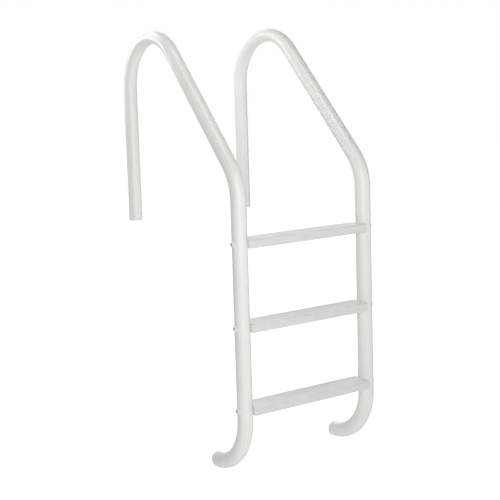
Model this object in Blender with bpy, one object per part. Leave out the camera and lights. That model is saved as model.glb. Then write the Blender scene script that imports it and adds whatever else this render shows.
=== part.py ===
"""In-ground pool ladder: two bent rails joined by three moulded treads.

Metres, +Z up.  X runs across the ladder, +Y points from the water towards
the deck.  The origin is the middle of the ladder's bounding box in X and Y,
at the height of its lowest point.

Each rail is a steel core tube inside a thick white polymer skin.  From its
foot it rises as a vertical pool leg, leans back towards the deck, turns over
at the top and comes straight down as the deck leg, which has a plain end.
The foot curves towards +Y and carries a push-in bumper.  Each tread is a
hollow moulding, open below, whose ends are saddles cupping the rails.  One
bolt at each tread end passes through a curved seat, the rail and the tread's
end wall into a nut held in a slot.

While it is built, the ladder's frame has the pool legs on y = 0, with the
top of the foot bends at z = 0.
"""

import math

import bmesh
import bpy
from mathutils import Matrix, Vector

# ----------------------------------------------------------- main dimensions
RAIL_SPACING = 0.508            # centre to centre, 20 in
RAIL_OD = 0.0508                # 2 in over the skin
SKIN_WALL = 0.0058
CORE_OD = 0.0381                # 1.5 in tube
CORE_WALL = 0.0018

TREAD_PITCH = 0.2738
LOWEST_TREAD_TOP = 0.0468       # above the top of the foot bend
TREAD_DEPTH = 0.070
TREAD_THICK = 0.0285
TREAD_END_WALL = 0.0120         # material between saddle and nut
SADDLE_GAP = 0.00035

BOLT_R = 0.0040
BOLT_HOLE_R = 0.0046
NUT_AF = 0.0130                 # across flats
NUT_THICK = 0.0065

GAP = 0.0003                    # between parts that meet
SKIN_SIDES = 20
CORE_SIDES = 12
ROUND_SIDES = 12                # bolts, nuts and bolt holes
SEAT_SIDES = 16

SHARP_DEG = 35.0                # edges steeper than this are shaded sharp
NUT_SHARP_DEG = 20.0

RAIL_R = RAIL_OD / 2
CORE_R = CORE_OD / 2
CORE_BORE_R = CORE_R - CORE_WALL
HALF_SPACING = RAIL_SPACING / 2
SADDLE_R = RAIL_R + SADDLE_GAP
NUT_FACE_X = HALF_SPACING - SADDLE_R - TREAD_END_WALL
BOLT_DROP = TREAD_THICK / 2     # bolt axis below the tread's top
TREAD_TOPS = [(level, LOWEST_TREAD_TOP + step * TREAD_PITCH)
              for level, step in (("upper", 2), ("middle", 1), ("lower", 0))]
SIDES = (("left", -1), ("right", 1))    # name and sign of x


# --------------------------------------------------------------------- scene
for old in list(bpy.data.objects):
    bpy.data.objects.remove(old, do_unlink=True)

COLLECTION = bpy.context.scene.collection


def material(name, color, roughness, metallic=0.0):
    mat = bpy.data.materials.new(name)
    mat.use_nodes = True
    shader = mat.node_tree.nodes["Principled BSDF"]
    shader.inputs["Base Color"].default_value = (*color, 1.0)
    shader.inputs["Roughness"].default_value = roughness
    shader.inputs["Metallic"].default_value = metallic
    mat.diffuse_color = (*color, 1.0)
    return mat


RAIL_WHITE = material("rail_polymer", color=(0.84, 0.83, 0.81), roughness=0.32)
CORE_STEEL = material("core_steel", color=(0.52, 0.53, 0.54), roughness=0.38, metallic=1.0)
TREAD_WHITE = material("tread_polymer", color=(0.74, 0.74, 0.735), roughness=0.48)
SEAT_WHITE = material("seat_nylon", color=(0.78, 0.78, 0.77), roughness=0.42)
BOLT_STEEL = material("bolt_steel", color=(0.62, 0.62, 0.62), roughness=0.28, metallic=1.0)
BUMPER_WHITE = material("bumper_vinyl", color=(0.80, 0.79, 0.78), roughness=0.55)

ladder = bpy.data.objects.new("ladder", None)
COLLECTION.objects.link(ladder)


# --------------------------------------------------------- meshes and objects
def shade(mesh, sharp_deg):
    mesh.shade_smooth()
    mesh.set_sharp_from_angle(angle=math.radians(sharp_deg))


def mesh_from(bm, name, sharp_deg=SHARP_DEG):
    bmesh.ops.recalc_face_normals(bm, faces=bm.faces)
    mesh = bpy.data.meshes.new(name)
    bm.to_mesh(mesh)
    bm.free()
    shade(mesh, sharp_deg)
    return mesh


def cut_mesh(blank, tools, name):
    """The mesh left after the tools are taken out of the blank, in order."""
    body = bpy.data.objects.new(name, mesh_from(blank, name + "_blank"))
    COLLECTION.objects.link(body)
    cutters = []
    for tool in tools:
        cutter = bpy.data.objects.new(name + "_cutter", mesh_from(tool, name + "_cutter"))
        COLLECTION.objects.link(cutter)
        cutter.hide_render = True
        cutters.append(cutter)
        cut = body.modifiers.new("cut", "BOOLEAN")
        cut.operation = "DIFFERENCE"
        cut.solver = "EXACT"
        cut.object = cutter
    bpy.context.view_layer.update()
    graph = bpy.context.evaluated_depsgraph_get()
    mesh = bpy.data.meshes.new_from_object(body.evaluated_get(graph))
    mesh.name = name
    shade(mesh, SHARP_DEG)
    for helper in (body, *cutters):
        bpy.data.objects.remove(helper, do_unlink=True)
    return mesh


def place(name, mesh, mat, location, rotation=(0, 0, 0)):
    """A part of the ladder.  Parts of one kind share a mesh and its material."""
    obj = bpy.data.objects.new(name, mesh)
    COLLECTION.objects.link(obj)
    if not mesh.materials:
        mesh.materials.append(mat)
    obj.location = location
    obj.rotation_euler = rotation
    obj.parent = ladder


# --------------------------------------------------------------- shape tools
AXIS_X, AXIS_Y, AXIS_Z = Vector((1, 0, 0)), Vector((0, 1, 0)), Vector((0, 0, 1))


def angles(sides):
    return [2 * math.pi * k / sides for k in range(sides)]


def ring(bm, centre, first_axis, second_axis, radius, sides):
    return [bm.verts.new(centre + radius * (math.cos(a) * first_axis + math.sin(a) * second_axis))
            for a in angles(sides)]


def bridge(bm, low, high):
    n = len(low)
    for k in range(n):
        bm.faces.new((low[k], low[(k + 1) % n], high[(k + 1) % n], high[k]))


def fan(bm, rim, tip):
    n = len(rim)
    for k in range(n):
        bm.faces.new((rim[k], rim[(k + 1) % n], tip))


def turned(profile, sides):
    """A solid of revolution about X.  profile is (x, radius) pairs from one
    end to the other; a radius of 0 closes that end with a fan."""
    bm = bmesh.new()
    previous = []
    for x, radius in profile:
        centre = Vector((x, 0, 0))
        if radius == 0.0:
            current = [bm.verts.new(centre)]
        else:
            current = ring(bm, centre, AXIS_Z, AXIS_Y, radius, sides)
        if len(previous) == 1:
            fan(bm, current, previous[0])
        elif previous and len(current) == 1:
            fan(bm, previous, current[0])
        elif previous:
            bridge(bm, previous, current)
        previous = current
    return bm


def add_prism(bm, outline, z_low, z_high):
    """Adds an upright prism over an outline of (x, y) points."""
    low = [bm.verts.new((x, y, z_low)) for x, y in outline]
    high = [bm.verts.new((x, y, z_high)) for x, y in outline]
    bm.faces.new(list(reversed(low)))
    bm.faces.new(high)
    bridge(bm, low, high)


def add_bolt_hole(bm, x_start, x_end, z):
    """Adds a rod along X, the size of a bolt hole, at y = 0."""
    start, end = (ring(bm, Vector((x, 0, z)), AXIS_Z, AXIS_Y, BOLT_HOLE_R, ROUND_SIDES)
                  for x in (x_start, x_end))
    bridge(bm, start, end)
    bm.faces.new(start)
    bm.faces.new(list(reversed(end)))


def add_saddle(bm, x, z_low, z_high):
    """Adds an upright cylinder about (x, 0) that clears the rail."""
    outline = [(x + SADDLE_R * math.cos(a), SADDLE_R * math.sin(a)) for a in angles(SKIN_SIDES)]
    add_prism(bm, outline, z_low, z_high)


# --------------------------------------------------------------------- rails
POOL_LEG = 0.7175               # straight part, foot bend to lower bend
SLOPE = 0.5065                  # straight part, lower bend to top bend
DECK_LEG = 0.5055
FOOT_BEND_R = 0.1975
LOWER_BEND_R = 0.1705
TOP_BEND_R = 0.1855
FOOT_BEND = math.radians(80.2)
LEAN = math.radians(42.0)       # of the slope from vertical
FOOT_BEND_STEPS = 8
LOWER_BEND_STEPS = 4
TOP_BEND_STEPS = 14
RAIL_HOLE_REACH = 0.040         # hole cutter, each side of the rail's axis


def bend(centre_y, centre_z, radius, start, end, steps):
    """Stations round a bend, between two leans towards +Y from vertical."""
    stations = []
    for k in range(steps + 1):
        lean = start + (end - start) * k / steps
        stations.append((centre_y - radius * math.cos(lean), centre_z + radius * math.sin(lean),
                         math.sin(lean), math.cos(lean)))
    return stations


def rail_path():
    """Stations (y, z, tangent y, tangent z) from the foot's end to the deck
    leg's end, in the rail's own plane."""
    stations = bend(FOOT_BEND_R, 0, FOOT_BEND_R, -FOOT_BEND, 0, FOOT_BEND_STEPS)
    stations += bend(LOWER_BEND_R, POOL_LEG, LOWER_BEND_R, 0, LEAN, LOWER_BEND_STEPS)
    y, z, tangent_y, tangent_z = stations[-1]
    centre_y = y + SLOPE * tangent_y + TOP_BEND_R * math.cos(LEAN)
    centre_z = z + SLOPE * tangent_z - TOP_BEND_R * math.sin(LEAN)
    stations += bend(centre_y, centre_z, TOP_BEND_R, LEAN, math.pi, TOP_BEND_STEPS)
    y, z = stations[-1][:2]
    stations.append((y, z - DECK_LEG, 0.0, -1.0))
    return stations


PATH = rail_path()


def pipe(outer_r, inner_r, sides):
    """A pipe along the rail's path, with flat annular ends."""
    bm = bmesh.new()
    sections = []
    for y, z, tangent_y, tangent_z in PATH:
        centre = Vector((0, y, z))
        normal = Vector((0, tangent_y, tangent_z)).normalized().cross(AXIS_X)
        sections.append([ring(bm, centre, AXIS_X, normal, radius, sides)
                         for radius in (outer_r, inner_r)])
    for (outer, inner), (next_outer, next_inner) in zip(sections, sections[1:]):
        bridge(bm, outer, next_outer)
        bridge(bm, next_inner, inner)
    first_outer, first_inner = sections[0]
    last_outer, last_inner = sections[-1]
    bridge(bm, first_inner, first_outer)
    bridge(bm, last_outer, last_inner)
    return bm


def rail_bolt_holes():
    bm = bmesh.new()
    for _, top in TREAD_TOPS:
        add_bolt_hole(bm, -RAIL_HOLE_REACH, RAIL_HOLE_REACH, top - BOLT_DROP)
    return bm


def build_rails():
    skin = cut_mesh(pipe(RAIL_R, RAIL_R - SKIN_WALL, SKIN_SIDES), [rail_bolt_holes()],
                    "rail_skin")
    core = cut_mesh(pipe(CORE_R, CORE_BORE_R, CORE_SIDES), [rail_bolt_holes()], "rail_core")
    for side, sign in SIDES:
        place(side + "_rail_skin", skin, RAIL_WHITE, (sign * HALF_SPACING, 0, 0))
        place(side + "_rail_core", core, CORE_STEEL, (sign * HALF_SPACING, 0, 0))


# -------------------------------------------------------------------- treads
TREAD_END_X = HALF_SPACING - 0.0150     # end plane, inboard of the rail's axis
TREAD_EDGE_R = 0.003
TREAD_WALL = 0.0034
TREAD_RIB = 0.0030              # thickness
CROSS_RIB_PITCH = 0.070         # ribs at 0 and at one and two pitches each way
LONG_RIB_END = 0.188            # x at which the rib along y = 0 stops
NUT_SLOT_LENGTH = NUT_THICK + 0.0006
HOLLOW_OVERRUN = 0.004          # cutters, beyond the tread's faces
SADDLE_OVERRUN = 0.005
TREAD_HOLE_INNER_X = NUT_FACE_X - 0.004
TREAD_HOLE_OUTER_X = HALF_SPACING - 0.010


def tread_blank():
    """The outside of a tread, its top at z = 0, with rounded edges."""
    bm = bmesh.new()
    bmesh.ops.create_cube(bm, size=1.0)
    bmesh.ops.scale(bm, verts=bm.verts, vec=(2 * TREAD_END_X, TREAD_DEPTH, TREAD_THICK))
    bmesh.ops.translate(bm, verts=bm.verts, vec=(0, 0, -TREAD_THICK / 2))
    bmesh.ops.bevel(bm, geom=list(bm.edges), offset=TREAD_EDGE_R, offset_type="OFFSET",
                    segments=2, profile=0.5, affect="EDGES")
    return bm


def tread_hollows():
    """The pockets between the tread's ribs, open below."""
    bm = bmesh.new()
    low, high = -TREAD_THICK - HOLLOW_OVERRUN, -TREAD_WALL
    rib = TREAD_RIB / 2
    wall_y = TREAD_DEPTH / 2 - TREAD_WALL
    slot_y = NUT_AF / 2 + GAP
    for sign in (-1, 1):
        for bay in range(2):
            near = sign * (bay * CROSS_RIB_PITCH + rib)
            far = sign * ((bay + 1) * CROSS_RIB_PITCH - rib)
            for half in (-1, 1):
                add_prism(bm, [(near, half * rib), (far, half * rib),
                               (far, half * wall_y), (near, half * wall_y)], low, high)
        # The last pocket is one space around the rib's end, with the nut's slot.
        near, rib_end, pocket_end, slot_end = (
            sign * x for x in (2 * CROSS_RIB_PITCH + rib, LONG_RIB_END,
                               NUT_FACE_X - NUT_SLOT_LENGTH, NUT_FACE_X))
        add_prism(bm, [(near, rib), (rib_end, rib), (rib_end, -rib), (near, -rib),
                       (near, -wall_y), (pocket_end, -wall_y),
                       (pocket_end, -slot_y), (slot_end, -slot_y),
                       (slot_end, slot_y), (pocket_end, slot_y),
                       (pocket_end, wall_y), (near, wall_y)], low, high)
    return bm


def tread_saddles():
    bm = bmesh.new()
    for sign in (-1, 1):
        add_saddle(bm, sign * HALF_SPACING, -TREAD_THICK - SADDLE_OVERRUN, SADDLE_OVERRUN)
    return bm


def tread_bolt_holes():
    bm = bmesh.new()
    for sign in (-1, 1):
        add_bolt_hole(bm, sign * TREAD_HOLE_INNER_X, sign * TREAD_HOLE_OUTER_X, -BOLT_DROP)
    return bm


def build_treads():
    tread = cut_mesh(tread_blank(), [tread_hollows(), tread_saddles(), tread_bolt_holes()],
                     "tread")
    for level, top in TREAD_TOPS:
        place(level + "_tread", tread, TREAD_WHITE, (0, 0, top))


# ----------------------------------------------------------------- fasteners
# Each is modelled about its own bolt axis, pointing outboard along +X from the
# rail's axis, and turned half round for the left rail.
SEAT_R = 0.0100
SEAT_BLANK = 0.0045             # thickness before the rail's curve is cut
SEAT_CHAMFER = 0.0006
SEAT_OUTER = SADDLE_R + 0.0011  # seat thickness at its middle, over the rail's crown
SEAT_RAIL_REACH = 0.02          # rail cutter, above and below the bolt axis
SEAT_HOLE_ENDS = (0.015, 0.040)

HEAD_UNDER = SEAT_OUTER + GAP
HEAD_TOP = HEAD_UNDER + 0.0046
HEAD_R = 0.0092
HEAD_SIDE = 0.0020              # straight part of the head's edge
HEAD_UNDER_CHAMFER = 0.0003     # radial, running the length of the straight part
DOME_INSET = 0.0040             # radial scale of the head's rounding
DOME_DEG = 78
DOME_STEPS = 3
SOCKET_AF = 0.0050              # across flats
SOCKET_RIM_R = SOCKET_AF * 0.62
SOCKET_DEPTH = 0.0022
BOLT_TIP = HEAD_UNDER - 0.0750  # bolt length under the head
TIP_CHAMFER_LENGTH = 0.0009
TIP_CHAMFER_INSET = 0.0008

NUT_BORE_R = BOLT_R + 0.0004
NUT_CHAMFER_LENGTH = 0.0008
NUT_CHAMFER_LIMIT = 1.02        # end faces' greatest radius, over half the flats
NUT_CHAMFER_INSET = 0.0001


def hexagon(across_flats, corners_first):
    """Twelve (angle, radius) points at a hexagon's corners and the middles of
    its flats."""
    flat = across_flats / 2
    corner = flat / math.cos(math.pi / 6)
    radii = (corner, flat) if corners_first else (flat, corner)
    return [(a, radii[k % 2]) for k, a in enumerate(angles(12))]


def bolt():
    """Pan head with a hexagon socket, and a plain shank with a chamfered tip."""
    dome_base = HEAD_UNDER + HEAD_SIDE
    profile = [(BOLT_TIP, 0.0), (BOLT_TIP, BOLT_R - TIP_CHAMFER_INSET),
               (BOLT_TIP + TIP_CHAMFER_LENGTH, BOLT_R), (HEAD_UNDER, BOLT_R),
               (HEAD_UNDER, HEAD_R - HEAD_UNDER_CHAMFER)]
    for k in range(DOME_STEPS + 1):
        a = math.radians(DOME_DEG * k / DOME_STEPS)
        profile.append((dome_base + (HEAD_TOP - dome_base) * math.sin(a),
                        HEAD_R - DOME_INSET * (1 - math.cos(a))))
    profile.append((HEAD_TOP, SOCKET_RIM_R))
    bm = turned(profile, ROUND_SIDES)
    rim = list(bm.verts)[-ROUND_SIDES:]     # the profile's last ring
    mouth, floor = (
        [bm.verts.new((x, radius * math.sin(a), radius * math.cos(a)))
         for a, radius in hexagon(SOCKET_AF, corners_first=True)]
        for x in (HEAD_TOP, HEAD_TOP - SOCKET_DEPTH))
    bridge(bm, rim, mouth)
    bridge(bm, mouth, floor)
    bm.faces.new(floor)
    return mesh_from(bm, "tread_bolt")


def seat():
    """A round seat, flat outside and curved inside to fit the rail."""
    inner = SEAT_OUTER - SEAT_BLANK
    blank = turned([(inner, 0.0), (inner, SEAT_R), (SEAT_OUTER - SEAT_CHAMFER, SEAT_R),
                    (SEAT_OUTER, SEAT_R - SEAT_CHAMFER), (SEAT_OUTER, 0.0)], SEAT_SIDES)
    rail = bmesh.new()
    add_saddle(rail, 0, -SEAT_RAIL_REACH, SEAT_RAIL_REACH)
    hole = bmesh.new()
    add_bolt_hole(hole, *SEAT_HOLE_ENDS, 0)
    return cut_mesh(blank, [rail, hole], "bolt_seat")


def nut():
    """A hexagon nut with chamfered corners, against the tread's end wall.
    Two of its flats face the slot's sides, which stop it turning."""
    near = HALF_SPACING - NUT_FACE_X + GAP      # distances inboard of the rail's axis
    far = near + NUT_THICK
    bore = [(a, NUT_BORE_R) for a in angles(12)]
    body = hexagon(NUT_AF, corners_first=False)
    limit = NUT_AF / 2 * NUT_CHAMFER_LIMIT
    face = [(a, min(radius, limit) - NUT_CHAMFER_INSET) for a, radius in body]
    bm = bmesh.new()
    loops = [[bm.verts.new((-x, radius * math.cos(a), radius * math.sin(a)))
              for a, radius in points]
             for x, points in ((near, bore), (near, face), (near + NUT_CHAMFER_LENGTH, body),
                               (far - NUT_CHAMFER_LENGTH, body), (far, face), (far, bore))]
    for start, end in zip(loops, loops[1:]):
        bridge(bm, start, end)
    bridge(bm, loops[-1], loops[0])
    return mesh_from(bm, "tread_nut", NUT_SHARP_DEG)


def build_fasteners():
    kinds = (("bolt", bolt(), BOLT_STEEL), ("bolt_seat", seat(), SEAT_WHITE),
             ("nut", nut(), BOLT_STEEL))
    for level, top in TREAD_TOPS:
        for side, sign in SIDES:
            location = (sign * HALF_SPACING, 0, top - BOLT_DROP)
            rotation = (0, 0, 0 if sign > 0 else math.pi)
            for kind, mesh, mat in kinds:
                place(f"{level}_{side}_{kind}", mesh, mat, location, rotation)


# ------------------------------------------------------------------- bumpers
BUMPER_LENGTH = 0.0140
BUMPER_EDGE_R = 0.0080
BUMPER_EDGE_STEPS = 4
BUMPER_CHAMFER_LENGTH = 0.0006
BUMPER_CHAMFER_INSET = 0.0004
SPIGOT_LENGTH = 0.0120
SPIGOT_R = CORE_BORE_R - 0.0014
SPIGOT_CHAMFER_LENGTH = 0.002
SPIGOT_CHAMFER_INSET = 0.0012


def bumper():
    """A cap with a rounded rim and a spigot that pushes into the core tube.
    Modelled along +X from the rail's cut end."""
    profile = [(-SPIGOT_LENGTH, 0.0), (-SPIGOT_LENGTH, SPIGOT_R - SPIGOT_CHAMFER_INSET),
               (-SPIGOT_LENGTH + SPIGOT_CHAMFER_LENGTH, SPIGOT_R), (GAP, SPIGOT_R),
               (GAP, RAIL_R - BUMPER_CHAMFER_INSET), (GAP + BUMPER_CHAMFER_LENGTH, RAIL_R)]
    for k in range(BUMPER_EDGE_STEPS + 1):
        a = math.radians(90 * k / BUMPER_EDGE_STEPS)
        profile.append((BUMPER_LENGTH - BUMPER_EDGE_R + BUMPER_EDGE_R * math.sin(a),
                        RAIL_R - BUMPER_EDGE_R * (1 - math.cos(a))))
    profile.append((BUMPER_LENGTH, 0.0))
    return mesh_from(turned(profile, SKIN_SIDES), "foot_bumper")


def build_bumpers():
    mesh = bumper()
    y, z, tangent_y, tangent_z = PATH[0]
    outward = Vector((0, -tangent_y, -tangent_z))
    turn = Matrix((outward, AXIS_X, outward.cross(AXIS_X))).transposed()
    for side, sign in SIDES:
        place(side + "_foot_bumper", mesh, BUMPER_WHITE, (sign * HALF_SPACING, y, z),
              turn.to_euler())


# -------------------------------------------------------------------- origin
def set_origin():
    """Centres the ladder in X and Y and stands its lowest point on z = 0."""
    bpy.context.view_layer.update()
    points = [obj.matrix_world @ vert.co for obj in bpy.data.objects if obj.type == "MESH"
              for vert in obj.data.vertices]
    xs, ys, zs = zip(*points)
    ladder.location = (-(min(xs) + max(xs)) / 2, -(min(ys) + max(ys)) / 2, -min(zs))
    bpy.context.view_layer.update()


build_rails()
build_treads()
build_fasteners()
build_bumpers()
set_origin()
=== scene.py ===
import math

import bmesh
import bpy
import numpy as np
from mathutils import Matrix, Vector


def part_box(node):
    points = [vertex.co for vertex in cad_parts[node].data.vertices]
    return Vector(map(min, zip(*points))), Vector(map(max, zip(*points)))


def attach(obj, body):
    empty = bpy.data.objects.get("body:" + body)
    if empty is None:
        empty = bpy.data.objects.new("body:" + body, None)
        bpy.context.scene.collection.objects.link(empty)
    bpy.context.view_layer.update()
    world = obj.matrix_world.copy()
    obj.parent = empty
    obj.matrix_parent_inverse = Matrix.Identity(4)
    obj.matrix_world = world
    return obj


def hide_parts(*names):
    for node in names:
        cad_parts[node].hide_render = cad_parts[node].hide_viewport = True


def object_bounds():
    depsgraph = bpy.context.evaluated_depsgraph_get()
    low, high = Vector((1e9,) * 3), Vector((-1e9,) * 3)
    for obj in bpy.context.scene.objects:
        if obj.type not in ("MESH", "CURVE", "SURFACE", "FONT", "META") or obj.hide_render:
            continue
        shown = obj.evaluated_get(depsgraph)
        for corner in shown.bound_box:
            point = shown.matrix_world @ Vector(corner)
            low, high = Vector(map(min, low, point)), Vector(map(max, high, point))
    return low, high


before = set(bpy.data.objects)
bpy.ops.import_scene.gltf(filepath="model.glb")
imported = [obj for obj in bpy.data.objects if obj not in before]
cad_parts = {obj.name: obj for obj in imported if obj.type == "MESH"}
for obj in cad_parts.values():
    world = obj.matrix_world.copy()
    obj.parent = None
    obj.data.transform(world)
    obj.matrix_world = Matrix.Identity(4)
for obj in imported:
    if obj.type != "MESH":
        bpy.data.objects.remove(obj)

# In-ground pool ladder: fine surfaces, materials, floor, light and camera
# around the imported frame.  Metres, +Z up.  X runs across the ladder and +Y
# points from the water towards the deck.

CAD_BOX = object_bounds()
SCENE = bpy.context.scene
COLLECTION = SCENE.collection

# ---------------------------------------------------------------------------
# Places, read from the frame
# ---------------------------------------------------------------------------
SKIN = {side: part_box(side + "_rail_skin") for side in ("left", "right")}
RAIL_X = {side: (b[0].x + b[1].x) / 2 for side, b in SKIN.items()}
RAIL_R = (SKIN["right"][1].x - SKIN["right"][0].x) / 2
HALF_SPACING = (RAIL_X["right"] - RAIL_X["left"]) / 2
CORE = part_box("right_rail_core")
CORE_R = (CORE[1].x - CORE[0].x) / 2
POOL_Y = SKIN["right"][0].y + RAIL_R
LEVELS = ("upper", "middle", "lower")
TREAD_TOP = {level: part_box(level + "_tread")[1].z for level in LEVELS}
T_LOW, T_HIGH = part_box("upper_tread")
TREAD_DEPTH = T_HIGH.y - T_LOW.y
TREAD_THICK = T_HIGH.z - T_LOW.z
TREAD_END_X = T_HIGH.x

SKIN_WALL = 0.0058
CORE_WALL = 0.0018
POOL_LEG = 0.7175
LOWER_BEND_R, LOWER_BEND_DEG = 0.1705, 42.0
SLOPE = 0.5065
TOP_BEND_R = 0.1855
DECK_LEG = 0.5055
FOOT_BEND_R, FOOT_BEND_DEG = 0.1975, 80.2
UPPER_TOP_ON_PATH = 0.5944
PATH_Z = TREAD_TOP["upper"] - UPPER_TOP_ON_PATH   # where the foot bend meets the pool leg

SADDLE_R = RAIL_R + 0.00035
TREAD_WALL, TREAD_RIB, TREAD_EDGE_R = 0.0034, 0.0030, 0.0030
NUT_FACE_X = HALF_SPACING - SADDLE_R - 0.0120
NUT_AF, NUT_THICK = 0.0130, 0.0065
GAP = 0.0003
BOLT_R, BOLT_HOLE_R = 0.0040, 0.0046
BOLT_HEAD_R, BOLT_HEAD_H, BOLT_HEAD_SIDE = 0.0092, 0.0046, 0.0020
SEAT_R, SEAT_OUTER = 0.0100, SADDLE_R + 0.0011
BUMPER_LENGTH, BUMPER_EDGE_R, BUMPER_SPIGOT = 0.0140, 0.0080, 0.0120


# ---------------------------------------------------------------------------
# Mesh tools
# ---------------------------------------------------------------------------
def new_mesh(name, verts, faces, sharp=35.0):
    mesh = bpy.data.meshes.new(name)
    mesh.from_pydata([tuple(map(float, v)) for v in verts], [], [tuple(map(int, f)) for f in faces])
    mesh.validate()
    mesh.shade_smooth()
    mesh.set_sharp_from_angle(angle=math.radians(sharp))
    return mesh


def loops_mesh(name, rings, closed=False, caps=(False, False), sharp=35.0):
    """Quads between equal rings of points; caps close the first and last."""
    n = len(rings[0])
    verts = [p for r in rings for p in r]
    faces = []
    count = len(rings)
    for i in range(count if closed else count - 1):
        a, b = i * n, ((i + 1) % count) * n
        for k in range(n):
            m = (k + 1) % n
            faces.append((a + k, a + m, b + m, b + k))
    if caps[0]:
        faces.append(tuple(reversed(range(n))))
    if caps[1]:
        faces.append(tuple(range((count - 1) * n, count * n)))
    mesh = new_mesh(name, verts, faces, sharp)
    bm = bmesh.new()
    bm.from_mesh(mesh)
    bmesh.ops.recalc_face_normals(bm, faces=bm.faces)
    bm.to_mesh(mesh)
    bm.free()
    mesh.shade_smooth()
    mesh.set_sharp_from_angle(angle=math.radians(sharp))
    return mesh


def evaluated(mesh, modifiers, name, sharp=35.0):
    """The mesh after a list of (type, settings) modifiers."""
    body = bpy.data.objects.new(name + "_work", mesh)
    COLLECTION.objects.link(body)
    for kind, settings in modifiers:
        mod = body.modifiers.new(kind, kind)
        for key, value in settings.items():
            setattr(mod, key, value)
    bpy.context.view_layer.update()
    graph = bpy.context.evaluated_depsgraph_get()
    made = bpy.data.meshes.new_from_object(body.evaluated_get(graph))
    made.name = name
    bpy.data.objects.remove(body, do_unlink=True)
    return made


def tool(mesh):
    obj = bpy.data.objects.new("work_tool", mesh)
    COLLECTION.objects.link(obj)
    obj.hide_render = True
    return obj


def drop(*objs):
    for o in objs:
        bpy.data.objects.remove(o, do_unlink=True)


def circle(centre, e1, e2, radius, sides, start=0.0):
    return [centre + radius * (math.cos(start + 2 * math.pi * k / sides) * e1
                               + math.sin(start + 2 * math.pi * k / sides) * e2)
            for k in range(sides)]


def lathe(name, profile, sides, sharp=35.0):
    """Turns (x, radius) pairs about X; a zero radius closes an end."""
    e1, e2 = Vector((0, 0, 1)), Vector((0, 1, 0))
    bm = bmesh.new()
    last = None
    for x, radius in profile:
        if radius <= 0:
            point = bm.verts.new((x, 0, 0))
            if isinstance(last, list):
                for k in range(sides):
                    bm.faces.new((last[k], last[(k + 1) % sides], point))
            last = point
            continue
        ring = [bm.verts.new(p) for p in circle(Vector((x, 0, 0)), e1, e2, radius, sides)]
        if isinstance(last, list):
            for k in range(sides):
                m = (k + 1) % sides
                bm.faces.new((last[k], last[m], ring[m], ring[k]))
        elif last is not None:
            for k in range(sides):
                bm.faces.new((last, ring[(k + 1) % sides], ring[k]))
        last = ring
    bmesh.ops.recalc_face_normals(bm, faces=bm.faces)
    mesh = bpy.data.meshes.new(name)
    bm.to_mesh(mesh)
    bm.free()
    mesh.shade_smooth()
    mesh.set_sharp_from_angle(angle=math.radians(sharp))
    return mesh


def arc(cx, cr, radius, a0, a1, steps):
    """Profile points of a round edge: angle 90 points outward, 0 along +x."""
    out = []
    for k in range(steps + 1):
        a = math.radians(a0 + (a1 - a0) * k / steps)
        out.append((cx + radius * math.cos(a), cr + radius * math.sin(a)))
    return out


# ---------------------------------------------------------------------------
# Rails
# ---------------------------------------------------------------------------
BOLT_Z = [TREAD_TOP[level] - TREAD_THICK / 2 - PATH_Z for level in LEVELS]


def rail_path():
    """(y, z, tangent y, tangent z, length so far) along the rail, from the
    foot's end to the deck leg's end, with the foot bend meeting y = 0, z = 0."""
    raw = []
    foot, lean = math.radians(FOOT_BEND_DEG), math.radians(LOWER_BEND_DEG)
    n = 56
    for k in range(n + 1):
        a = foot * (1 - k / n)
        raw.append((FOOT_BEND_R * (1 - math.cos(a)), -FOOT_BEND_R * math.sin(a),
                    -math.sin(a), math.cos(a)))
    heights = set(np.round(np.arange(0.012, POOL_LEG, 0.012), 5))
    for zb in BOLT_Z:
        heights = {h for h in heights if abs(h - zb) > 0.0165}
        heights |= {round(zb + d, 5) for d in np.arange(-0.015, 0.0151, 0.0025)}
    raw += [(0.0, float(h), 0.0, 1.0) for h in sorted(heights)]
    n = 30
    for k in range(n + 1):
        a = lean * k / n
        raw.append((LOWER_BEND_R * (1 - math.cos(a)), POOL_LEG + LOWER_BEND_R * math.sin(a),
                    math.sin(a), math.cos(a)))
    y, z, ty, tz = raw[-1]
    n = 40
    for k in range(1, n):
        raw.append((y + SLOPE * ty * k / n, z + SLOPE * tz * k / n, ty, tz))
    y, z = y + SLOPE * ty, z + SLOPE * tz
    cy, cz = y + TOP_BEND_R * math.cos(lean), z - TOP_BEND_R * math.sin(lean)
    n = 96
    for k in range(n + 1):
        a = lean + (math.pi - lean) * k / n
        raw.append((cy - TOP_BEND_R * math.cos(a), cz + TOP_BEND_R * math.sin(a),
                    math.sin(a), math.cos(a)))
    y, z, _, _ = raw[-1]
    n = 40
    raw += [(y, z - DECK_LEG * k / n, 0.0, -1.0) for k in range(1, n + 1)]
    out, s = [], 0.0
    for i, (y, z, ty, tz) in enumerate(raw):
        if i:
            s += math.hypot(y - raw[i - 1][0], z - raw[i - 1][1])
        out.append((y, z, ty, tz, s))
    return out


PATH = rail_path()
PATH_LENGTH = PATH[-1][4]


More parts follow.
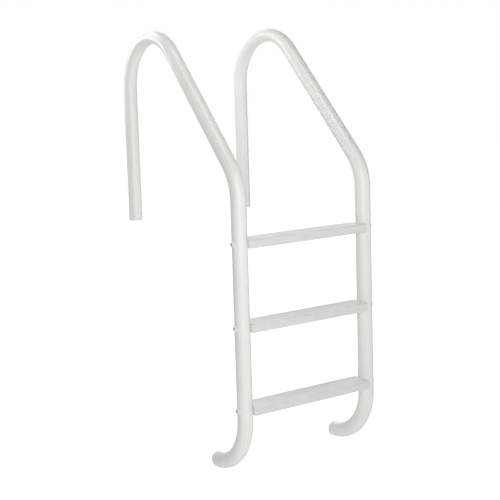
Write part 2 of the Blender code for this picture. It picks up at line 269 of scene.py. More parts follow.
def pipe_mesh(name, outer, inner, sides, lip_out, lip_in):
    """A pipe along the path.  Its ends are flat rings whose outer and inner
    edges are rounded by lip_out and lip_in."""
    e1 = Vector((1, 0, 0))
    stations = list(PATH)

    def frame_at(i, back):
        y, z, ty, tz, _ = stations[i]
        t = Vector((0, ty, tz)).normalized()
        return Vector((0, y, z)) + back * t, t.cross(e1)

    rings = []
    # Inner face, deck leg end back to the foot, then the outer face forward.
    steps = 5
    ends = {0: 1.0, len(stations) - 1: -1.0}
    inner_rings, outer_rings = [], []
    for i in range(len(stations)):
        if i in ends:
            direction = ends[i]
            for k in range(steps + 1):
                a = math.pi / 2 * k / steps
                centre, e2 = frame_at(i, direction * lip_in * (1 - math.sin(a)))
                inner_rings.append((i, k, circle(centre, e1, e2, inner + lip_in * (1 - math.cos(a)), sides)))
                centre, e2 = frame_at(i, direction * lip_out * (1 - math.sin(a)))
                outer_rings.append((i, k, circle(centre, e1, e2, outer - lip_out * (1 - math.cos(a)), sides)))
        else:
            centre, e2 = frame_at(i, 0.0)
            inner_rings.append((i, 0, circle(centre, e1, e2, inner, sides)))
            outer_rings.append((i, 0, circle(centre, e1, e2, outer, sides)))
    last = len(stations) - 1
    # k runs from the wall (0) to the end face (steps); the foot end wants face first.
    def ordered(items):
        head = [r for i, k, r in sorted((t for t in items if t[0] == 0), key=lambda t: -t[1])]
        body = [r for i, k, r in items if 0 < i < last]
        tail = [r for i, k, r in sorted((t for t in items if t[0] == last), key=lambda t: t[1])]
        return head + body + tail
    outs, ins = ordered(outer_rings), ordered(inner_rings)
    rings = outs + list(reversed(ins))
    return loops_mesh(name, rings, closed=True, sharp=50.0)


def bolt_hole_tool(radius):
    bm = bmesh.new()
    for zb in BOLT_Z:
        a = [bm.verts.new(p) for p in circle(Vector((-0.04, 0, zb)), Vector((0, 0, 1)), Vector((0, 1, 0)), radius, 40)]
        b = [bm.verts.new(p) for p in circle(Vector((0.04, 0, zb)), Vector((0, 0, 1)), Vector((0, 1, 0)), radius, 40)]
        for k in range(40):
            m = (k + 1) % 40
            bm.faces.new((a[k], a[m], b[m], b[k]))
        bm.faces.new(a)
        bm.faces.new(list(reversed(b)))
    bmesh.ops.recalc_face_normals(bm, faces=bm.faces)
    mesh = bpy.data.meshes.new("work_holes")
    bm.to_mesh(mesh)
    bm.free()
    return tool(mesh)


def unbent(mesh, offset=0.0):
    """Stores each point's place on the straightened tube: two across it and
    its length along it, so grain and streaks follow the bends."""
    pts = np.array([v.co for v in mesh.vertices], float).reshape(-1, 3)
    a = np.array([(p[0], p[1]) for p in PATH])
    t = np.array([(p[2], p[3]) for p in PATH])
    t /= np.linalg.norm(t, axis=1)[:, None]
    s = np.array([p[4] for p in PATH])
    out = np.zeros((len(pts), 3))
    for start in range(0, len(pts), 4000):
        q = pts[start:start + 4000, 1:]
        d = ((q[:, None, :] - a[None]) ** 2).sum(2)
        i = d.argmin(1)
        rel = q - a[i]
        along = (rel * t[i]).sum(1)
        across = rel[:, 0] * t[i, 1] - rel[:, 1] * t[i, 0]
        out[start:start + 4000] = np.stack([pts[start:start + 4000, 0], across, s[i] + along + offset], 1)
    layer = mesh.attributes.new("along", "FLOAT_VECTOR", "POINT")
    layer.data.foreach_set("vector", out.astype(np.float32).ravel())


holes = bolt_hole_tool(BOLT_HOLE_R)
cut = ("BOOLEAN", {"operation": "DIFFERENCE", "solver": "EXACT", "object": holes})
skin_fine = evaluated(pipe_mesh("skin_blank", RAIL_R, RAIL_R - SKIN_WALL, 96, 0.0014, 0.0005), [cut], "rail_skin_fine")
core_fine = evaluated(pipe_mesh("core_blank", CORE_R, CORE_R - CORE_WALL, 64, 0.0003, 0.0002), [cut], "rail_core_fine")
drop(holes)
for made in (skin_fine, core_fine):
    made.shade_smooth()
    made.set_sharp_from_angle(angle=math.radians(50))
unbent(skin_fine)
unbent(core_fine)


# ---------------------------------------------------------------------------
# Treads
# ---------------------------------------------------------------------------
def rounded_outline(points, radius, steps=5):
    """A polygon's outline with its corners rounded; works for both turns."""
    out = []
    n = len(points)
    for i in range(n):
        p0, p1, p2 = (Vector(points[(i + d) % n]) for d in (-1, 0, 1))
        u, v = (p0 - p1), (p2 - p1)
        r = min(radius, 0.45 * u.length, 0.45 * v.length)
        u.normalize()
        v.normalize()
        half = math.acos(max(-1, min(1, u.dot(v)))) / 2
        back = r / math.tan(half)
        back = min(back, 0.49 * (p0 - p1).length, 0.49 * (p2 - p1).length)
        r = back * math.tan(half)
        centre = p1 + (u + v).normalized() * (r / math.sin(half))
        a, b = p1 + u * back - centre, p1 + v * back - centre
        a0, a1 = math.atan2(a.y, a.x), math.atan2(b.y, b.x)
        sweep = (a1 - a0 + math.pi) % (2 * math.pi) - math.pi
        for k in range(steps + 1):
            t = a0 + sweep * k / steps
            out.append((centre.x + r * math.cos(t), centre.y + r * math.sin(t)))
    return out


def pocket(bm, outline, low, high, draft, crown):
    """A moulded pocket: drafted walls and a rounded ceiling."""
    ring = np.array(outline)
    centre = ring.mean(0)
    area = 0.5 * sum(ring[i][0] * ring[(i + 1) % len(ring)][1] - ring[(i + 1) % len(ring)][0] * ring[i][1]
                     for i in range(len(ring)))
    sign = 1.0 if area > 0 else -1.0

    def inset(amount):
        nxt, prev = np.roll(ring, -1, 0), np.roll(ring, 1, 0)
        tangent = nxt - prev
        tangent /= np.maximum(np.linalg.norm(tangent, axis=1), 1e-9)[:, None]
        normal = np.stack([-tangent[:, 1], tangent[:, 0]], 1) * sign
        return ring + normal * amount

    levels = [(low, 0.0), (high - crown, draft)]
    for k in range(1, 5):
        a = math.pi / 2 * k / 4
        levels.append((high - crown + crown * math.sin(a), draft + crown * (1 - math.cos(a))))
    loops = []
    for z, amount in levels:
        loops.append([bm.verts.new((x, y, z)) for x, y in inset(amount)])
    n = len(ring)
    for a, b in zip(loops, loops[1:]):
        for k in range(n):
            m = (k + 1) % n
            bm.faces.new((a[k], a[m], b[m], b[k]))
    bm.faces.new(list(reversed(loops[0])))
    bm.faces.new(loops[-1])


def tread_mesh():
    blank = bmesh.new()
    bmesh.ops.create_cube(blank, size=1.0)
    bmesh.ops.scale(blank, verts=blank.verts, vec=(2 * TREAD_END_X, TREAD_DEPTH, TREAD_THICK))
    bmesh.ops.translate(blank, verts=blank.verts, vec=(0, 0, -TREAD_THICK / 2))
    bmesh.ops.bevel(blank, geom=list(blank.edges), offset=TREAD_EDGE_R, offset_type="OFFSET",
                    segments=8, profile=0.5, affect="EDGES")
    mesh = bpy.data.meshes.new("tread_blank")
    blank.to_mesh(mesh)
    blank.free()

    hollow = bmesh.new()
    low, high = -TREAD_THICK - 0.004, -TREAD_WALL
    y_out, y_in, rib = TREAD_DEPTH / 2 - TREAD_WALL, TREAD_RIB / 2, TREAD_RIB / 2
    pocket_end = NUT_FACE_X - NUT_THICK - 0.0006
    stops = (0.0, 0.070, 0.140)
    for sign in (-1, 1):
        for near, far in zip(stops, stops[1:]):
            x0, x1 = sign * (near + rib), sign * (far - rib)
            for s in (-1, 1):
                pocket(hollow, rounded_outline([(x0, s * y_in), (x1, s * y_in), (x1, s * y_out), (x0, s * y_out)],
                                               0.0022), low, high, 0.0003, 0.0012)
        x0, x1, x2, x3 = (sign * v for v in (stops[-1] + rib, 0.188, pocket_end, NUT_FACE_X))
        slot = NUT_AF / 2 + GAP
        pocket(hollow, rounded_outline([(x0, y_in), (x1, y_in), (x1, -y_in), (x0, -y_in), (x0, -y_out),
                                        (x2, -y_out), (x2, -slot), (x3, -slot), (x3, slot), (x2, slot),
                                        (x2, y_out), (x0, y_out)], 0.0006, 3), low, high, 0.0, 0.0004)
    bmesh.ops.recalc_face_normals(hollow, faces=hollow.faces)
    hollow_mesh = bpy.data.meshes.new("work_hollow")
    hollow.to_mesh(hollow_mesh)
    hollow.free()

    saddle = bmesh.new()
    bores = bmesh.new()
    for sign in (-1, 1):
        rings = []
        for z in (-TREAD_THICK - 0.005, 0.005):
            rings.append([saddle.verts.new((sign * HALF_SPACING + SADDLE_R * math.cos(2 * math.pi * (k + 0.5) / 128),
                                            SADDLE_R * math.sin(2 * math.pi * (k + 0.5) / 128), z)) for k in range(128)])
        for k in range(128):
            m = (k + 1) % 128
            saddle.faces.new((rings[0][k], rings[0][m], rings[1][m], rings[1][k]))
        saddle.faces.new(list(reversed(rings[0])))
        saddle.faces.new(rings[1])
        rings = []
        for x in (sign * (NUT_FACE_X - 0.004), sign * (HALF_SPACING - 0.010)):
            rings.append([bores.verts.new(p) for p in circle(Vector((x, 0, -TREAD_THICK / 2)),
                                                              Vector((0, 0, 1)), Vector((0, 1, 0)), BOLT_HOLE_R, 40)])
        for k in range(40):
            m = (k + 1) % 40
            bores.faces.new((rings[0][k], rings[0][m], rings[1][m], rings[1][k]))
        bores.faces.new(list(reversed(rings[0])))
        bores.faces.new(rings[1])
    tools = []
    for bm, name in ((saddle, "work_saddle"), (bores, "work_bores")):
        bmesh.ops.recalc_face_normals(bm, faces=bm.faces)
        m = bpy.data.meshes.new(name)
        bm.to_mesh(m)
        bm.free()
        tools.append(tool(m))
    tools.insert(0, tool(hollow_mesh))
    mods = [("BOOLEAN", {"operation": "DIFFERENCE", "solver": "EXACT", "object": t}) for t in tools]
    made = evaluated(mesh, mods, "tread_cut")
    drop(*tools)
    made.shade_smooth()
    made.set_sharp_from_angle(angle=math.radians(32))
    soft = [("BEVEL", {"width": 0.00045, "segments": 2, "limit_method": "ANGLE", "angle_limit": math.radians(38),
                       "harden_normals": False, "use_clamp_overlap": True, "miter_outer": "MITER_ARC"}),
            ("WEIGHTED_NORMAL", {"keep_sharp": True, "weight": 50})]
    return evaluated(made, soft, "tread_fine")


tread_fine = tread_mesh()


# ---------------------------------------------------------------------------
# Fasteners, each about its bolt axis with +X pointing outboard from the rail
# ---------------------------------------------------------------------------
def bolt_mesh():
    """Pan head with a chamfered hexagon socket; the shank's far end is threaded
    with a true helix."""
    sides = 72
    x0 = SEAT_OUTER + GAP
    tip = x0 - 0.0750
    pitch, depth = 0.00125, 0.00062
    e1, e2 = Vector((0, 0, 1)), Vector((0, 1, 0))
    rings = [circle(Vector((tip, 0, 0)), e1, e2, BOLT_R - 0.0013, sides)]
    thread_end = tip + 0.0180
    x = tip + 0.00002
    step = pitch / 12
    while x < thread_end:
        ring = []
        for k in range(sides):
            a = 2 * math.pi * k / sides
            phase = ((x - tip) / pitch - k / sides) % 1.0
            cut_in = max(0.0, 1.0 - abs(phase - 0.5) / 0.42) * depth
            fade = min(1.0, (thread_end - x) / (2 * pitch))
            lead = max(0.0, 1.0 - (x - tip) / 0.0011) * 0.0011
            r = min(BOLT_R - cut_in * fade, BOLT_R - lead)
            ring.append(Vector((x, 0, 0)) + r * (math.cos(a) * e1 + math.sin(a) * e2))
        rings.append(ring)
        x += step
    for x, r in ((thread_end, BOLT_R), (x0 - 0.0012, BOLT_R), (x0 - 0.0004, BOLT_R + 0.0001),
                 (x0, BOLT_R + 0.0005), (x0, BOLT_HEAD_R - 0.0005), (x0 + 0.0001, BOLT_HEAD_R - 0.00018),
                 (x0 + 0.0003, BOLT_HEAD_R - 0.00003), (x0 + 0.0006, BOLT_HEAD_R), (x0 + BOLT_HEAD_SIDE, BOLT_HEAD_R)):
        rings.append(circle(Vector((x, 0, 0)), e1, e2, r, sides))
    rim = 0.00335
    for k in range(1, 15):
        a = math.radians(90 * k / 14)
        rings.append(circle(Vector((x0 + BOLT_HEAD_SIDE + (BOLT_HEAD_H - BOLT_HEAD_SIDE) * math.sin(a), 0, 0)), e1, e2,
                            BOLT_HEAD_R - 0.0040 * (1 - math.cos(a)), sides))
    top = x0 + BOLT_HEAD_H
    rings.append(circle(Vector((top, 0, 0)), e1, e2, rim + 0.0001, sides))

    def hexagon(x, flat, blend):
        ring = []
        for k in range(sides):
            a = 2 * math.pi * k / sides
            local = (a + math.pi / 6) % (math.pi / 3) - math.pi / 6
            r_hex = flat / math.cos(local)
            ring.append(Vector((x, 0, 0)) + (r_hex * blend + (1 - blend) * rim) * (math.cos(a) * e1 + math.sin(a) * e2))
        return ring

    rings.append(hexagon(top - 0.0001, 0.0025, 0.1))
    rings.append(hexagon(top - 0.0006, 0.0025, 0.98))
    rings.append(hexagon(top - 0.0008, 0.0025, 1.0))
    rings.append(hexagon(top - 0.0023, 0.0025, 1.0))
    rings.append(hexagon(top - 0.0024, 0.0024, 1.0))
    return loops_mesh("tread_bolt_fine", rings, caps=(True, True), sharp=30.0)


def seat_mesh():
    """A round seat, flat and eased outside, hollowed beneath to the rail."""
    sides = 96
    e = []
    for radius in (BOLT_HOLE_R + 0.0002, BOLT_HOLE_R + 0.0004):
        e.append((SEAT_OUTER - (0.0002 if radius < BOLT_HOLE_R + 0.0003 else 0.0), radius))
    for r in np.linspace(BOLT_HOLE_R + 0.001, SEAT_R - 0.0010, 6):
        e.append((SEAT_OUTER, float(r)))
    for k in range(7):
        a = math.radians(90 * k / 6)
        e.append((SEAT_OUTER - 0.0009 * (1 - math.cos(a)), SEAT_R - 0.0009 * (1 - math.sin(a))))
    rings = []
    for x, r in e:
        rings.append([Vector((x, r * math.sin(2 * math.pi * k / sides), r * math.cos(2 * math.pi * k / sides)))
                      for k in range(sides)])
    for r in [SEAT_R - 0.00002, SEAT_R - 0.0003] + list(np.linspace(SEAT_R - 0.001, BOLT_HOLE_R + 0.0002, 8)):
        ring = []
        for k in range(sides):
            a = 2 * math.pi * k / sides
            y, z = r * math.sin(a), r * math.cos(a)
            lift = 0.0003 if r > SEAT_R - 0.0001 else 0.0
            ring.append(Vector((math.sqrt((SADDLE_R) ** 2 - y * y) + lift, y, z)))
        rings.append(ring)
    return loops_mesh("bolt_seat_fine", rings, closed=True, sharp=40.0)


def nut_mesh():
    """A chamfered hexagon nut with two flats facing the slot's sides."""
    sides = 72
    inner = HALF_SPACING - NUT_FACE_X + GAP
    outer = inner + NUT_THICK
    flat = NUT_AF / 2 - 0.00005

    def ring(x, limit, blend=1.0):
        out = []
        for k in range(sides):
            a = 2 * math.pi * k / sides
            local = a % (math.pi / 3)
            r_hex = flat / math.cos(local if local <= math.pi / 6 else math.pi / 3 - local)
            out.append(Vector((-x, min(r_hex, limit) * math.cos(a), min(r_hex, limit) * math.sin(a))))
        return out

    def bore(x, r):
        return [Vector((-x, r * math.cos(2 * math.pi * k / sides), r * math.sin(2 * math.pi * k / sides))) for k in range(sides)]

    corner = flat / math.cos(math.pi / 6)
    r0 = BOLT_R + GAP + 0.0001
    rings = [bore(inner + 0.0005, r0), bore(inner, r0 + 0.0004), bore(inner, flat * 0.94)]
    for k in range(5):
        t = k / 4
        rings.append(ring(inner + 0.0001 + 0.0009 * t, flat * 0.97 + (corner - flat * 0.97) * t))
    for k in range(5):
        t = 1 - k / 4
        rings.append(ring(outer - 0.0001 - 0.0009 * t, flat * 0.97 + (corner - flat * 0.97) * t))
    rings += [bore(outer, flat * 0.94), bore(outer, r0 + 0.0004), bore(outer - 0.0005, r0)]
    return loops_mesh("tread_nut_fine", rings, closed=True, sharp=28.0)


bolt_fine, seat_fine, nut_fine = bolt_mesh(), seat_mesh(), nut_mesh()


# ---------------------------------------------------------------------------
# Foot bumpers, along +X from the rail's cut end
# ---------------------------------------------------------------------------
def bumper_mesh():
    spigot = CORE_R - CORE_WALL - 0.0014
    start = BUMPER_LENGTH - BUMPER_EDGE_R
    profile = [(-BUMPER_SPIGOT, 0.0), (-BUMPER_SPIGOT, spigot - 0.0018)]
    profile += arc(-BUMPER_SPIGOT + 0.0012, spigot - 0.0012, 0.0012, 180, 90, 5)
    profile += [(-0.008, spigot), (-0.0072, spigot - 0.0004), (-0.0064, spigot), (-0.004, spigot),
                (-0.0032, spigot - 0.0004), (-0.0024, spigot), (GAP - 0.0001, spigot), (GAP, spigot + 0.0002),
                (GAP, RAIL_R - 0.0014)]
    profile += arc(GAP + 0.0013, RAIL_R - 0.0013, 0.0013, 180, 90, 7)
    profile += [(0.003, RAIL_R), (start, RAIL_R)]
    profile += arc(start, RAIL_R - BUMPER_EDGE_R, BUMPER_EDGE_R, 90, 0, 24)[1:]
    profile += [(BUMPER_LENGTH, 0.012), (BUMPER_LENGTH, 0.006), (BUMPER_LENGTH, 0.0)]
    return lathe("foot_bumper_fine", profile, 96, 40.0)


bumper_fine = bumper_mesh()


# ---------------------------------------------------------------------------
# Materials
# ---------------------------------------------------------------------------
class Nodes:
    """Short hand for building a node tree."""

    def __init__(self, name):
        self.material = bpy.data.materials.new(name)
        self.material.use_nodes = True
        self.tree = self.material.node_tree
        self.tree.nodes.clear()
        self.out = self.add("ShaderNodeOutputMaterial")

    def add(self, kind, inputs=None, **settings):
        node = self.tree.nodes.new(kind)
        for key, value in settings.items():
            setattr(node, key, value)
        for key, value in (inputs or {}).items():
            socket = node.inputs[key]
            if isinstance(value, bpy.types.NodeSocket):
                self.tree.links.new(value, socket)
            else:
                socket.default_value = value
        return node

    def link(self, a, b):
        self.tree.links.new(a, b)

    def noise(self, vector, scale, detail=2.0, rough=0.5, dims="3D"):
        return self.add("ShaderNodeTexNoise", {"Vector": vector, "Scale": scale, "Detail": detail,
                                               "Roughness": rough}, noise_dimensions=dims).outputs["Fac"]

    def stretch(self, vector, scale, rotate=(0, 0, 0)):
        return self.add("ShaderNodeMapping", {"Vector": vector, "Scale": scale, "Rotation": rotate}).outputs["Vector"]

    def spread(self, value, low, high, to_low, to_high):
        node = self.add("ShaderNodeMapRange", {"Value": value, "From Min": low, "From Max": high,
                                               "To Min": to_low, "To Max": to_high}, interpolation_type="SMOOTHSTEP")
        return node.outputs["Result"]

    def math(self, operation, a, b=0.0, c=0.0):
        node = self.add("ShaderNodeMath", operation=operation)
        for socket, value in zip(node.inputs, (a, b, c)):
            if isinstance(value, bpy.types.NodeSocket):
                self.tree.links.new(value, socket)
            else:
                socket.default_value = value
        return node.outputs["Value"]

    def mix(self, factor, a, b):
        node = self.add("ShaderNodeMix", data_type="RGBA")
        sockets = [s for s in node.inputs if s.enabled or s.type in ("RGBA", "VALUE")]
        for key, value in (("Factor", factor), ("A", a), ("B", b)):
            wanted = [s for s in node.inputs if s.name == key and s.type == ("VALUE" if key == "Factor" else "RGBA")][0]
            if isinstance(value, bpy.types.NodeSocket):
                self.tree.links.new(value, wanted)
            else:
                wanted.default_value = value if key == "Factor" else (*value, 1.0)
        return [s for s in node.outputs if s.type == "RGBA"][0]

    def bump(self, height, distance, strength=1.0, normal=None):
        inputs = {"Height": height, "Distance": distance, "Strength": strength}
        if normal is not None:
            inputs["Normal"] = normal
        return self.add("ShaderNodeBump", inputs).outputs["Normal"]

    def shader(self, **inputs):
        node = self.add("ShaderNodeBsdfPrincipled")
        for key, value in inputs.items():
            socket = node.inputs[key.replace("_", " ")]
            if isinstance(value, bpy.types.NodeSocket):
                self.tree.links.new(value, socket)
            else:
                socket.default_value = value
        self.link(node.outputs["BSDF"], self.out.inputs["Surface"])
        return node


def scaled(colour, k):
    return tuple(c * k for c in colour)


def rail_material():
    n = Nodes("rail_polymer_look")
    along = n.add("ShaderNodeAttribute", attribute_name="along", attribute_type="GEOMETRY").outputs["Vector"]
    ident = n.add("ShaderNodeObjectInfo").outputs["Random"]
    shifted = n.add("ShaderNodeVectorMath", operation="ADD")
    n.link(along, shifted.inputs[0])
    offset = n.add("ShaderNodeCombineXYZ", {"Z": n.math("MULTIPLY", ident, 7.0)})
    n.link(offset.outputs["Vector"], shifted.inputs[1])
    place = shifted.outputs["Vector"]
    white = (0.838, 0.822, 0.800)
    cloud = n.noise(n.stretch(place, (6, 6, 2.2)), 1.0, 3.0, 0.55)
    streak = n.noise(n.stretch(place, (150, 150, 2.0)), 1.0, 1.5, 0.5)
    fine = n.noise(place, 1500.0, 2.0, 0.5)
    base = n.mix(n.spread(cloud, 0.32, 0.68, 0, 1), white, scaled((0.832, 0.812, 0.782), 0.985))
    base = n.mix(n.spread(streak, 0.35, 0.75, 0, 0.16), base, (0.790, 0.782, 0.768))
    # Faint grey rub marks where hands and ropes slide along the rail.
    rub = n.noise(n.stretch(place, (28, 28, 5)), 1.0, 1.0, 0.4)
    marks = n.math("MULTIPLY", n.spread(rub, 0.54, 0.76, 0, 1), n.spread(cloud, 0.36, 0.64, 0, 1))
    base = n.mix(n.math("MULTIPLY", marks, 0.08), base, (0.60, 0.592, 0.575))
    rough = n.math("ADD", n.spread(cloud, 0.3, 0.7, 0.30, 0.36), n.math("MULTIPLY", marks, 0.05))
    normal = n.bump(n.noise(place, 90.0, 2.0, 0.5), 0.00005, 0.25)
    normal = n.bump(fine, 0.00001, 0.15, normal)
    n.shader(Base_Color=base, Roughness=rough, Normal=normal, IOR=1.49)
    return n.material


def moulded(name, light, dark, rough_low, rough_high, grain, depth, stipple=0.0):
    """Moulded plastic with a fine grain; stipple raises a slip-resistant
    texture on faces that look up, and paints those faces lighter as painted top light."""
    n = Nodes(name)
    coords = n.add("ShaderNodeTexCoord").outputs["Object"]
    ident = n.add("ShaderNodeObjectInfo").outputs["Random"]
    shifted = n.add("ShaderNodeVectorMath", operation="ADD")
    n.link(coords, shifted.inputs[0])
    offset = n.add("ShaderNodeCombineXYZ", {"X": n.math("MULTIPLY", ident, 5.0), "Y": n.math("MULTIPLY", ident, 3.0)})
    n.link(offset.outputs["Vector"], shifted.inputs[1])
    place = shifted.outputs["Vector"]
    cloud = n.noise(place, 14.0, 4.0, 0.6)
    flow = n.noise(n.stretch(place, (9, 60, 60)), 1.0, 3.0, 0.6)
    base = n.mix(n.spread(cloud, 0.34, 0.66, 0, 1), light, dark)
    base = n.mix(n.spread(flow, 0.38, 0.72, 0, 0.4), base, scaled(dark, 0.97))
    texture = n.noise(place, grain, 3.0, 0.6)
    speck = n.noise(place, 900.0, 2.0, 0.5)
    base = n.mix(n.spread(speck, 0.62, 0.74, 0, 0.18), base, scaled(dark, 0.86))
    rough = n.spread(texture, 0.3, 0.7, rough_low, rough_high)
    normal = n.bump(texture, depth, 0.6)
    if stipple:
        up = n.add("ShaderNodeSeparateXYZ", {"Vector": n.add("ShaderNodeNewGeometry").outputs["Normal"]}).outputs["Z"]
        dots = n.add("ShaderNodeTexVoronoi", {"Vector": place, "Scale": 420.0, "Randomness": 0.9},
                     feature="SMOOTH_F1").outputs["Distance"]
        height = n.math("MULTIPLY", n.spread(dots, 0.10, 0.62, 1, 0), n.spread(up, 0.5, 0.95, 0, 1))
        normal = n.bump(height, stipple, 0.7, normal)
        # Painted top light: faces that look up are painted lighter than the sides. The stipple's hollows on those faces
        # are made darker.
        base = n.mix(n.spread(up, 0.5, 0.95, 0, 0.9), base, scaled(light, 1.13))
        base = n.mix(n.math("MULTIPLY", n.spread(dots, 0.35, 0.75, 0, 0.22), n.spread(up, 0.5, 0.95, 0, 1)),
                     base, scaled(dark, 0.92))
    n.shader(Base_Color=base, Roughness=rough, Normal=normal, IOR=1.49)
    return n.material


def steel_material(name, tint, rough_low, rough_high, grain_axis):
    n = Nodes(name)
    coords = n.add("ShaderNodeTexCoord").outputs["Object"]
    fine = n.noise(n.stretch(coords, grain_axis), 1.0, 4.0, 0.65)
    cloud = n.noise(coords, 60.0, 3.0, 0.6)
    base = n.mix(n.spread(fine, 0.3, 0.7, 0, 1), tint, scaled(tint, 0.82))
    base = n.mix(n.spread(cloud, 0.55, 0.75, 0, 0.25), base, scaled((0.50, 0.47, 0.43), 0.9))
    rough = n.spread(fine, 0.25, 0.75, rough_low, rough_high)
    normal = n.bump(fine, 0.00003, 0.5)
    n.shader(Base_Color=base, Roughness=rough, Metallic=1.0, Normal=normal)
    return n.material


def coated_bolt_material():
    """Stainless shank and socket; the dome carries a white coat that has
    worn thin round the socket's edge."""
    n = Nodes("bolt_steel_look")
    coords = n.add("ShaderNodeTexCoord").outputs["Object"]
    split = n.add("ShaderNodeSeparateXYZ", {"Vector": coords})
    radius = n.math("SQRT", n.math("ADD", n.math("MULTIPLY", split.outputs["Y"], split.outputs["Y"]),
                                   n.math("MULTIPLY", split.outputs["Z"], split.outputs["Z"])))
    fine = n.noise(n.stretch(coords, (120, 900, 900)), 1.0, 4.0, 0.65)
    chips = n.noise(coords, 1300.0, 4.0, 0.6)
    edge = n.math("ADD", 0.0032, n.math("MULTIPLY", n.math("SUBTRACT", chips, 0.5), 0.0010))
    coat = n.math("MULTIPLY", n.math("GREATER_THAN", radius, edge),
                  n.math("GREATER_THAN", split.outputs["X"], SEAT_OUTER + GAP / 2))
    steel = n.mix(n.spread(fine, 0.3, 0.7, 0, 1), (0.66, 0.66, 0.65), (0.54, 0.54, 0.53))
    white = n.mix(n.spread(n.noise(coords, 420.0, 3.0, 0.6), 0.35, 0.7, 0, 1), (0.84, 0.835, 0.82), (0.80, 0.795, 0.78))
    base = n.mix(coat, steel, white)
    rough = n.math("ADD", n.spread(fine, 0.25, 0.75, 0.22, 0.34), n.math("MULTIPLY", coat, 0.06))
    normal = n.bump(n.noise(coords, 2200.0, 2.0, 0.5), 0.00002, 0.4)
    n.shader(Base_Color=base, Roughness=rough, Metallic=n.math("SUBTRACT", 1.0, coat), Normal=normal, IOR=1.5)
    return n.material


RAIL_LOOK = rail_material()
TREAD_LOOK = moulded("tread_polymer_look", (0.743, 0.735, 0.727), (0.703, 0.695, 0.687), 0.42, 0.58, 700.0, 0.00006, 0.00022)
SEAT_LOOK = moulded("seat_nylon_look", (0.780, 0.776, 0.765), (0.745, 0.740, 0.728), 0.36, 0.50, 900.0, 0.00003)
BUMPER_LOOK = moulded("bumper_vinyl_look", (0.765, 0.758, 0.748), (0.730, 0.722, 0.710), 0.48, 0.64, 800.0, 0.00005)
CORE_LOOK = steel_material("core_steel_look", (0.52, 0.53, 0.54), 0.30, 0.46, (700, 700, 20))
NUT_LOOK = steel_material("nut_steel_look", (0.66, 0.66, 0.65), 0.20, 0.34, (120, 900, 900))
BOLT_LOOK = coated_bolt_material()


# ---------------------------------------------------------------------------
# Pieces
# ---------------------------------------------------------------------------
def piece(name, mesh, look, matrix, slot, *nodes):
    obj = bpy.data.objects.new(name, mesh.copy())
    obj.data.name = name
    COLLECTION.objects.link(obj)
    obj.data.materials.clear()
    obj.data.materials.append(look)
    obj.matrix_world = matrix
    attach(obj, "root")
    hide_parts(*nodes)
    return obj


for side in ("left", "right"):
    at = Matrix.Translation((RAIL_X[side], POOL_Y, PATH_Z))
    piece(side + "_rail_tube", skin_fine, RAIL_LOOK, at, "rail_polymer", side + "_rail_skin")
    piece(side + "_rail_inner_tube", core_fine, CORE_LOOK, at, "core_steel", side + "_rail_core")
for level in LEVELS:
    piece(level + "_tread_moulding", tread_fine, TREAD_LOOK, Matrix.Translation((0, POOL_Y, TREAD_TOP[level])),
          "tread_polymer", level + "_tread")
    for side, sign in (("left", -1), ("right", 1)):
        at = Matrix.Translation((RAIL_X[side], POOL_Y, TREAD_TOP[level] - TREAD_THICK / 2))
        turn = at if sign > 0 else at @ Matrix.Rotation(math.pi, 4, "Z")
        tag = level + "_" + side
        # Each bolt was tightened to its own angle.
        spin = Matrix.Rotation(math.radians({"upper": 9, "middle": 41, "lower": 23}[level] + (17 if sign > 0 else 0)), 4, "X")
        piece(tag + "_tread_bolt", bolt_fine, BOLT_LOOK, turn @ spin, "bolt_steel", tag + "_bolt")
        piece(tag + "_tread_bolt_seat", seat_fine, SEAT_LOOK, turn, "seat_nylon", tag + "_bolt_seat")
        piece(tag + "_tread_nut", nut_fine, NUT_LOOK, turn, "bolt_steel", tag + "_nut")

end_y, end_z, end_ty, end_tz, _ = PATH[0]
outward = Vector((0, -end_ty, -end_tz)).normalized()
sideways = Vector((1, 0, 0))
bumper_fine.transform(Matrix((outward, sideways, outward.cross(sideways))).transposed().to_4x4())
for side in ("left", "right"):
    at = Matrix.Translation((RAIL_X[side], POOL_Y + end_y, PATH_Z + end_z))
    piece(side + "_foot_bumper_cap", bumper_fine, BUMPER_LOOK, at, "bumper_vinyl", side + "_foot_bumper")


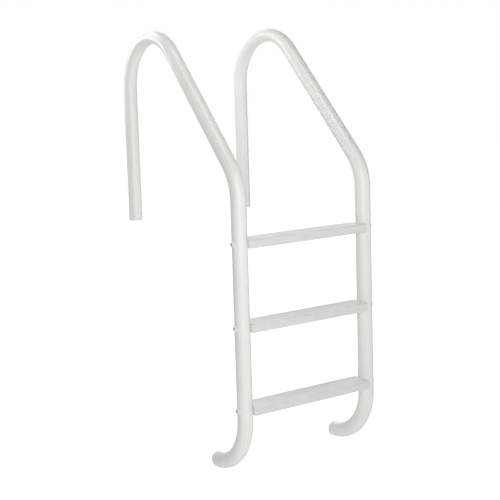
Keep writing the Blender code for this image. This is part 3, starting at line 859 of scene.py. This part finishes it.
# ---------------------------------------------------------------------------
# Floor, light and camera
# ---------------------------------------------------------------------------
def floor():
    bm = bmesh.new()
    bmesh.ops.create_grid(bm, x_segments=24, y_segments=24, size=14.0)
    mesh = bpy.data.meshes.new("studio_floor")
    bm.to_mesh(mesh)
    bm.free()
    obj = bpy.data.objects.new("studio_floor", mesh)
    COLLECTION.objects.link(obj)
    obj.location = (0, 0, CAD_BOX[0].z - 0.0005)
    n = Nodes("studio_floor_look")
    path = n.add("ShaderNodeLightPath").outputs["Is Camera Ray"]
    coords = n.add("ShaderNodeTexCoord").outputs["Object"]
    tone = n.spread(n.noise(coords, 1.3, 3.0, 0.5), 0.3, 0.7, 0.0, 1.0)
    seen = n.add("ShaderNodeBsdfDiffuse", {"Color": n.mix(tone, (0.200, 0.200, 0.200), (0.185, 0.185, 0.185))})
    far = n.add("ShaderNodeVectorMath", {0: coords}, operation="LENGTH").outputs["Value"]
    glow = n.add("ShaderNodeEmission", {"Color": (1, 1, 1, 1), "Strength": n.spread(far, 0.6, 2.6, 0.955, 1.0)})
    both = n.add("ShaderNodeAddShader")
    n.link(seen.outputs[0], both.inputs[0])
    n.link(glow.outputs[0], both.inputs[1])
    # What the object itself sees: a lit white sweep.
    plain = n.add("ShaderNodeBsdfDiffuse", {"Color": (0.55, 0.55, 0.55, 1)})
    lit = n.add("ShaderNodeEmission", {"Color": (1, 1, 1, 1), "Strength": 0.400})
    sweep = n.add("ShaderNodeAddShader")
    n.link(plain.outputs[0], sweep.inputs[0])
    n.link(lit.outputs[0], sweep.inputs[1])
    pick = n.add("ShaderNodeMixShader", {0: path})
    n.link(sweep.outputs[0], pick.inputs[1])
    n.link(both.outputs[0], pick.inputs[2])
    n.link(pick.outputs[0], n.out.inputs["Surface"])
    # The sweep's glow is too even to need aimed light rays.
    n.material.cycles.emission_sampling = "NONE"
    mesh.materials.append(n.material)
    return obj


floor()

world = bpy.data.worlds.new("studio")
SCENE.world = world
world.use_nodes = True
tree = world.node_tree
tree.nodes.clear()
out = tree.nodes.new("ShaderNodeOutputWorld")
pick = tree.nodes.new("ShaderNodeMixShader")
path = tree.nodes.new("ShaderNodeLightPath")
seen = tree.nodes.new("ShaderNodeBackground")
seen.inputs["Color"].default_value = (1, 1, 1, 1)
seen.inputs["Strength"].default_value = 1.0
fill = tree.nodes.new("ShaderNodeBackground")
fill.inputs["Color"].default_value = (1, 1, 1, 1)
fill.inputs["Strength"].default_value = 0.000
tree.links.new(path.outputs["Is Camera Ray"], pick.inputs[0])
tree.links.new(fill.outputs[0], pick.inputs[1])
tree.links.new(seen.outputs[0], pick.inputs[2])
tree.links.new(pick.outputs[0], out.inputs["Surface"])


def softbox(name, position, aim, width, height, power, colour=(1, 1, 1)):
    data = bpy.data.lights.new(name, "AREA")
    data.shape = "RECTANGLE"
    data.size, data.size_y = width, height
    data.energy = power
    data.color = colour
    obj = bpy.data.objects.new(name, data)
    COLLECTION.objects.link(obj)
    obj.location = position
    obj.rotation_mode = "QUATERNION"
    obj.rotation_quaternion = (Vector(aim) - Vector(position)).to_track_quat("-Z", "Y")
    obj.visible_camera = False
    return obj


# A wide key low beside the camera with a larger one far behind it; boxes all
# round fill in; small ones close by light the arches from behind and above.
MIDDLE, ARCHES = (0, 0, 0.8), (0.1, 0.25, 1.15)
for name, aim, position, size, power in (
    ("key_softbox", MIDDLE, (-0.991, -2.402, 0.891), 1.20, 14.79),
    ("front_top_softbox", MIDDLE, (-0.503, -0.733, 3.243), 1.20, 16.23),
    ("right_far_softbox", MIDDLE, (4.114, -2.820, 1.149), 2.40, 35.28),
    ("front_raised_far_softbox", MIDDLE, (-2.380, -4.051, 2.510), 2.40, 82.01),
    ("back_wide_softbox", MIDDLE, (2.765, 4.034, 1.840), 6.00, 158.57),
    ("left_back_high_wide_softbox", MIDDLE, (0.296, 3.819, 4.014), 5.00, 49.60),
    ("arch_left_back_softbox", ARCHES, (-0.900, 1.300, 1.600), 0.60, 6.72),
    ("arch_left_high_softbox", ARCHES, (-0.600, 0.900, 2.100), 0.60, 4.62),
):
    softbox(name, position, aim, size, size, power)

# The view is a crop away from the lens axis, as from a shift lens, so the
# camera's shift is set to match.  The shift holds only where this camera
# stands: moved anywhere else, it looks straight ahead.
AZ, EL, ROLL = map(math.radians, (25.12260, 5.77785, -2.77626))
FOCAL, DISTANCE = 881.3533, 4.193033
AXIS_POINT = Vector((-0.060756, 1.452993 + POOL_Y, 0.662335 + PATH_Z))
CENTRE_X, CENTRE_Y = 97.855, 180.667
ahead = Vector((math.sin(AZ) * math.cos(EL), math.cos(AZ) * math.cos(EL), -math.sin(EL)))
right = Vector((math.cos(AZ), -math.sin(AZ), 0))
above = right.cross(ahead)
cam_x = right * math.cos(ROLL) + above * math.sin(ROLL)
cam_y = above * math.cos(ROLL) - right * math.sin(ROLL)
lens = bpy.data.cameras.new("studio_camera")
lens.sensor_width = 36.0
lens.lens = FOCAL * 36.0 / 500
camera = bpy.data.objects.new("studio_camera", lens)
COLLECTION.objects.link(camera)
spot = AXIS_POINT - ahead * DISTANCE
camera.matrix_world = Matrix.Translation(spot) @ Matrix((cam_x, cam_y, -ahead)).transposed().to_4x4()
lens.clip_start, lens.clip_end = 0.05, 60.0
SCENE.camera = camera
for channel, amount in (("shift_x", (250 - CENTRE_X) / 500), ("shift_y", (CENTRE_Y - 250) / 500)):
    driver = lens.driver_add(channel).driver
    driver.type = "SCRIPTED"
    for axis in "xyz":
        var = driver.variables.new()
        var.name = axis
        var.type = "TRANSFORMS"
        var.targets[0].id = camera
        var.targets[0].transform_type = "LOC_" + axis.upper()
        var.targets[0].transform_space = "WORLD_SPACE"
    driver.expression = "%.6f if abs(x - %.5f) + abs(y - %.5f) + abs(z - %.5f) < 0.002 else 0.0" % (
        amount, spot.x, spot.y, spot.z)

SCENE.view_settings.view_transform = "Standard"
SCENE.view_settings.look = "None"

bpy.context.view_layer.update()
